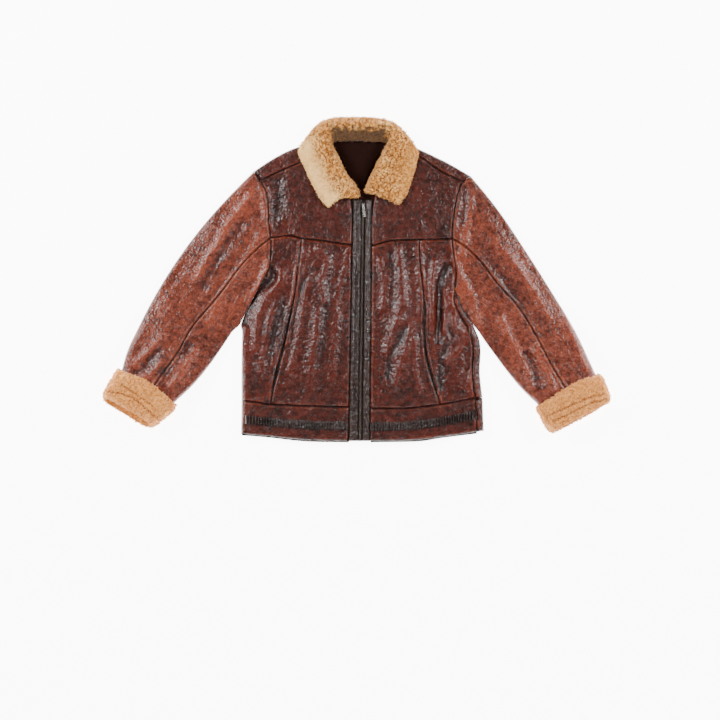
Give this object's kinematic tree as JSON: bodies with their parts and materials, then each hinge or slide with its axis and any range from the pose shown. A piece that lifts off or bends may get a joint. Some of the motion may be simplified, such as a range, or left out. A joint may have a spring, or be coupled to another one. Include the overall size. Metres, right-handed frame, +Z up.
{
  "type": "shearling jacket",
  "caption": "Zip-front leather shearling jacket laid flat, with a turned-down wool collar, turned-back wool cuffs, slanted pockets and a hem band.",
  "frame": {"origin": "on the ground under the back, on the zip line", "axes": "+X towards the wearer's left sleeve, +Y from the hem to the neck, +Z up out of the front"},
  "size_m": [1.2138, 0.7748, 0.0548],
  "materials": {
    "leather": "mottled red-brown leather, worn and slightly glossy",
    "side_leather": "redder brown leather, worn and slightly glossy",
    "dark_leather": "dark grey-brown tucked leather",
    "fur": "honey-coloured curly wool",
    "facing": "dark brown leather",
    "tape": "dark zip tape with its closed chain",
    "zip_metal": "plated zip metal"
  },
  "bodies": {
    "jacket": {"back": "leather", "back_band": "leather", "centre_front_right": "leather", "yoke_right": "leather", "front_band_right": "leather", "pocket_welt_right": "leather", "sleeve_upper_right": "leather", "sleeve_under_right": "leather", "centre_front_left": "leather", "yoke_left": "leather", "front_band_left": "leather", "pocket_welt_left": "leather", "sleeve_upper_left": "leather", "sleeve_under_left": "leather", "side_front_right": "side_leather", "side_front_left": "side_leather", "hem_strip_right": "dark_leather", "placket_right": "dark_leather", "hem_strip_left": "dark_leather", "placket_left": "dark_leather", "collar": "fur", "cuff_right": "fur", "cuff_left": "fur", "neck_facing": "facing", "zip_chain": "tape", "zip_slider": "zip_metal"},
    "pull_tab": {"zip_pull": "zip_metal"}
  },
  "joints": [
    {"name": "pull_tab_hinge", "type": "hinge", "parent": "jacket", "child": "pull_tab", "pos_m": [0.00321, 0.1765, 0.0215], "axis": [-0.9903, -0.1392, 0], "range_deg": [0, 130]}
  ]
}
